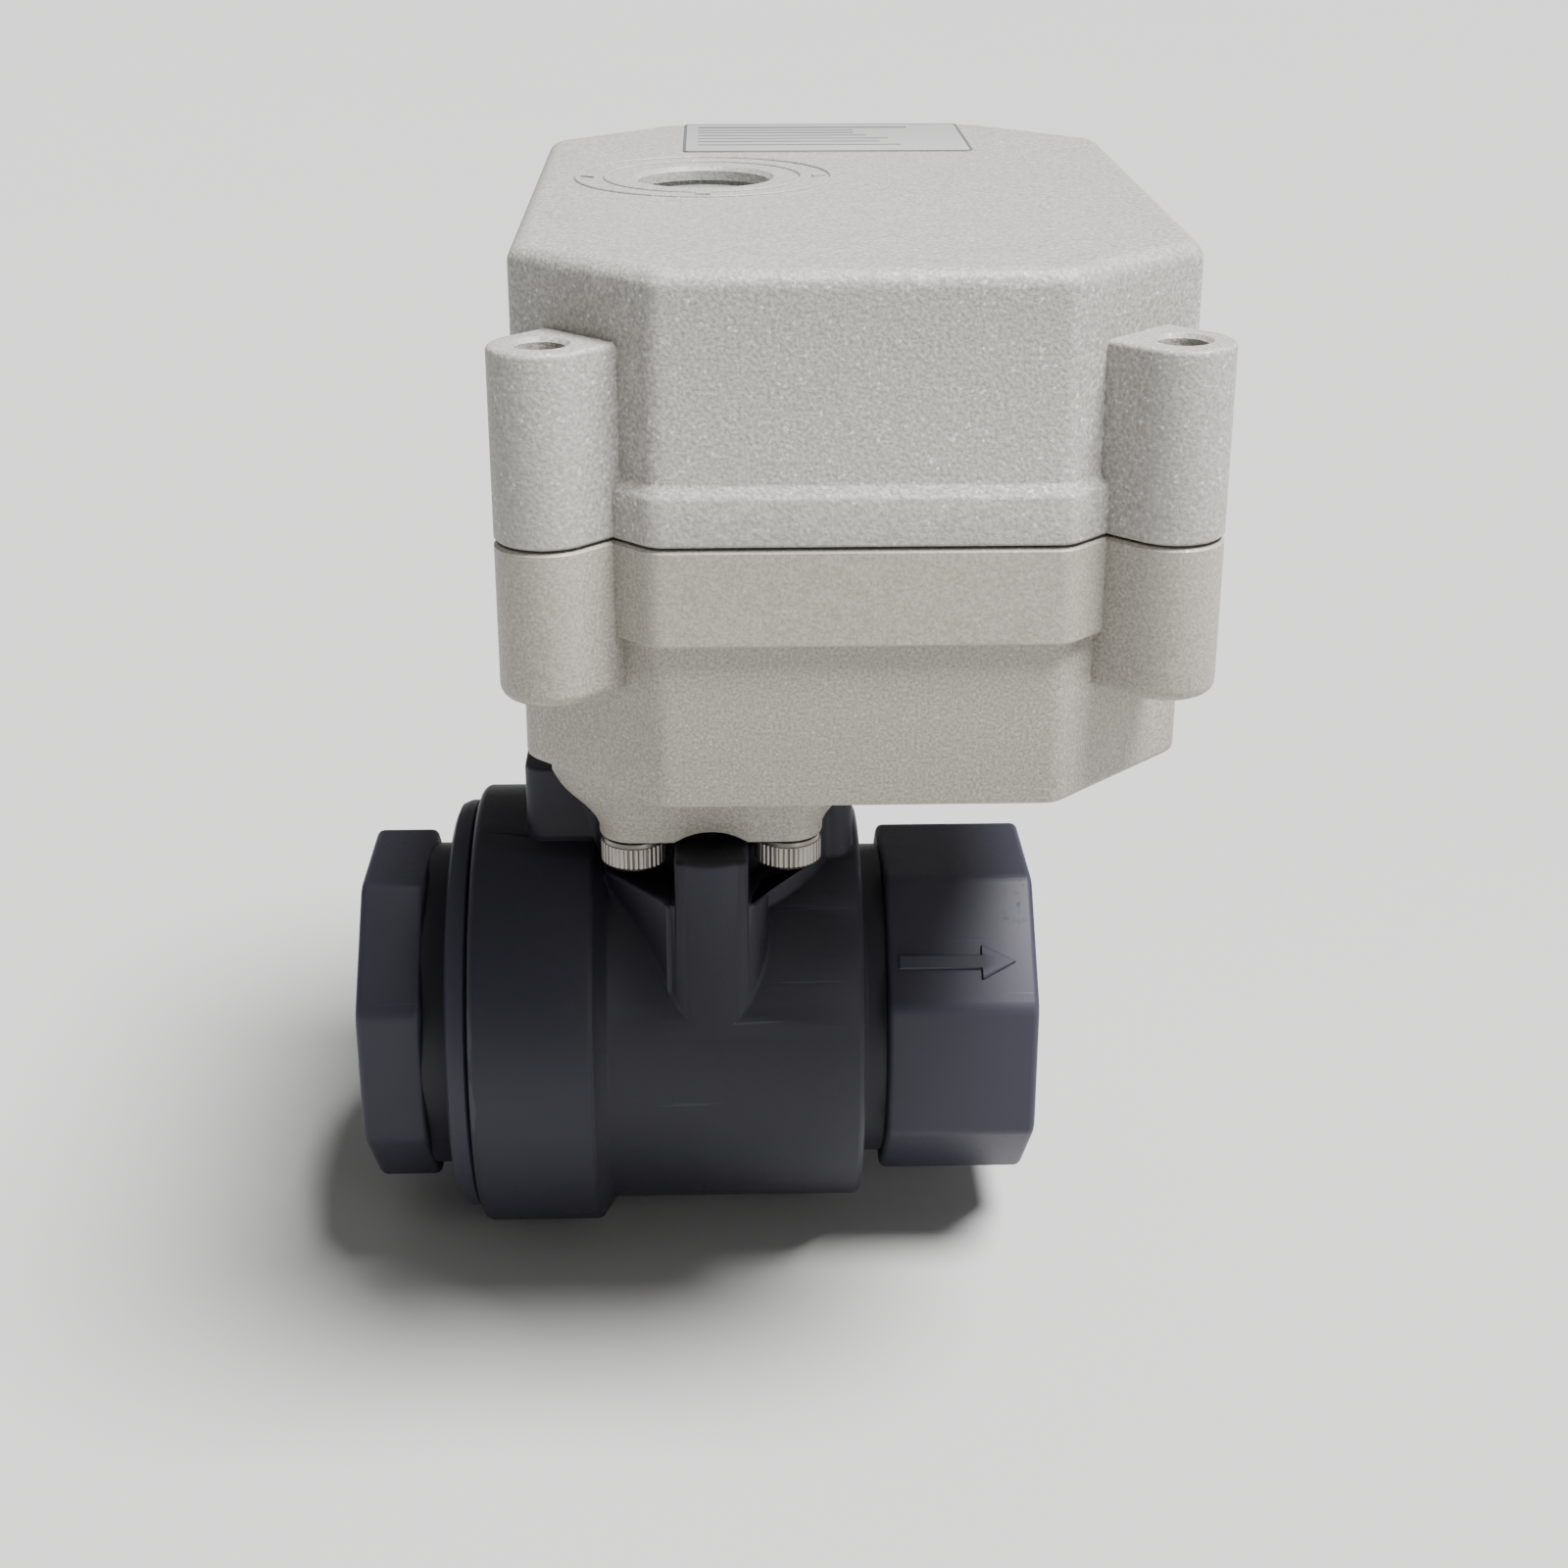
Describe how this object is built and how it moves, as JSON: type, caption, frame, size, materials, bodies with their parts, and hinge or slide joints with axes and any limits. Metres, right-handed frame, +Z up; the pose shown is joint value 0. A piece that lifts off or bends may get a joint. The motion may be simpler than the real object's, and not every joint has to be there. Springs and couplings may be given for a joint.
{
  "type": "motorized valve actuator",
  "caption": "Octagonal grey gear-motor actuator bolted by a flared foot to a dark plastic quarter-turn ball valve with octagonal threaded ends.",
  "frame": {"origin": "centre of the ball, on the pipe's axis and the stem's axis", "axes": "+X along the pipe to the outlet, +Y to the side with the cable gland, +Z up along the stem to the window"},
  "size_m": [0.0977, 0.1207, 0.1378],
  "materials": {
    "cover_grey": "fine-textured satin grey with a faint sparkle",
    "base_grey": "satin grey, finer and smoother than the cover",
    "valve_plastic": "dark blue-grey moulded plastic, satin",
    "stainless": "bright turned stainless steel",
    "steel": "plain bright steel",
    "brass": "machined brass",
    "seat_plastic": "white fluoropolymer",
    "rubber": "black rubber",
    "gear_plastic": "natural acetal",
    "lens": "clear moulded lens",
    "label": "silver-white film label",
    "dial": "grey moulded plastic",
    "board": "green solder mask",
    "switch_body": "black moulded plastic",
    "plunger_red": "red moulded plastic",
    "relay_blue": "blue moulded plastic",
    "terminal_green": "green moulded plastic",
    "gland_grey": "mid grey moulded plastic"
  },
  "bodies": {
    "valve_and_housing": {"base_housing": "base_grey", "top_cover": "cover_grey", "cover_gasket": "rubber", "window_lens": "lens", "rating_label": "label", "mounting_foot": "base_grey", "cable_gland_body": "gland_grey", "cable_gland_nut": "gland_grey", "cable_gland_seal": "rubber", "cable_gland_locknut": "gland_grey", "valve_body": "valve_plastic", "end_cap": "valve_plastic", "body_o_ring": "rubber", "seat_ring_left": "seat_plastic", "seat_ring_right": "seat_plastic", "neck_lock_ring": "brass", "output_bush": "brass", "lower_gear_plate": "steel", "upper_gear_plate": "steel", "motor_can": "steel", "gearhead": "steel", "gear_axle_1": "steel", "gear_axle_2": "steel", "circuit_board": "board", "relay": "relay_blue", "terminal_block": "terminal_green", "switch_closed": "switch_body", "switch_open": "switch_body", "cover_screw_1": "stainless", "mount_screw_1": "stainless", "plate_pillar_1": "steel", "cover_screw_2": "stainless", "mount_screw_2": "stainless", "plate_pillar_2": "steel", "cover_screw_3": "stainless", "mount_screw_3": "stainless", "plate_pillar_3": "steel", "cover_screw_4": "stainless", "mount_screw_4": "stainless", "plate_pillar_4": "steel"},
    "output_drive": {"output_shaft": "steel", "shaft_o_ring": "rubber", "output_gear": "steel", "cam_lower": "gear_plastic", "cam_upper": "gear_plastic", "indicator_dial": "dial"},
    "ball_and_stem": {"ball": "valve_plastic", "stem": "stainless", "stem_o_ring_1": "rubber", "stem_o_ring_2": "rubber"},
    "cluster_2": {"cluster_gear_2": "gear_plastic"},
    "cluster_1": {"cluster_gear_1": "gear_plastic"},
    "motor_rotor": {"motor_pinion": "brass"},
    "closed_plunger": {"plunger_closed": "plunger_red"},
    "open_plunger": {"plunger_open": "plunger_red"}
  },
  "joints": [
    {"name": "output_turn", "type": "hinge", "parent": "valve_and_housing", "child": "output_drive", "pos_m": [0, 0, 0], "axis": [0, 0, -1], "range_deg": [0, 90]},
    {"name": "stem_turn", "type": "hinge", "parent": "valve_and_housing", "child": "ball_and_stem", "pos_m": [0, 0, 0], "axis": [0, 0, -1], "range_deg": [0, 90]},
    {"name": "cluster_2_spin", "type": "hinge", "parent": "valve_and_housing", "child": "cluster_2", "pos_m": [0.02757, -0.00486, 0.092], "axis": [0, 0, -1], "range_deg": [-331, 1]},
    {"name": "cluster_1_spin", "type": "hinge", "parent": "valve_and_housing", "child": "cluster_1", "pos_m": [0.02424, -0.02377, 0.09], "axis": [0, 0, -1], "range_deg": [-1, 991]},
    {"name": "motor_spin", "type": "hinge", "parent": "valve_and_housing", "child": "motor_rotor", "pos_m": [0.00632, -0.03065, 0.088], "axis": [0, 0, -1], "range_deg": [-2971, 1]},
    {"name": "closed_plunger_slide", "type": "slide", "parent": "valve_and_housing", "child": "closed_plunger", "axis": [0, 1, 0], "range_m": [-0.00001, 0.00072]},
    {"name": "open_plunger_slide", "type": "slide", "parent": "valve_and_housing", "child": "open_plunger", "axis": [0, 1, 0], "range_m": [-0.00072, 0.00001]}
  ],
  "couplings": [
    {"joint": "stem_turn", "follows": "output_turn", "ratio": 1},
    {"joint": "cluster_2_spin", "follows": "output_turn", "ratio": -3.6667},
    {"joint": "cluster_1_spin", "follows": "output_turn", "ratio": 11},
    {"joint": "motor_spin", "follows": "output_turn", "ratio": -33},
    {"joint": "closed_plunger_slide", "follows": "output_turn", "m_per_rad": 0.00044563},
    {"joint": "open_plunger_slide", "follows": "output_turn", "m_per_rad": -0.00044563}
  ]
}
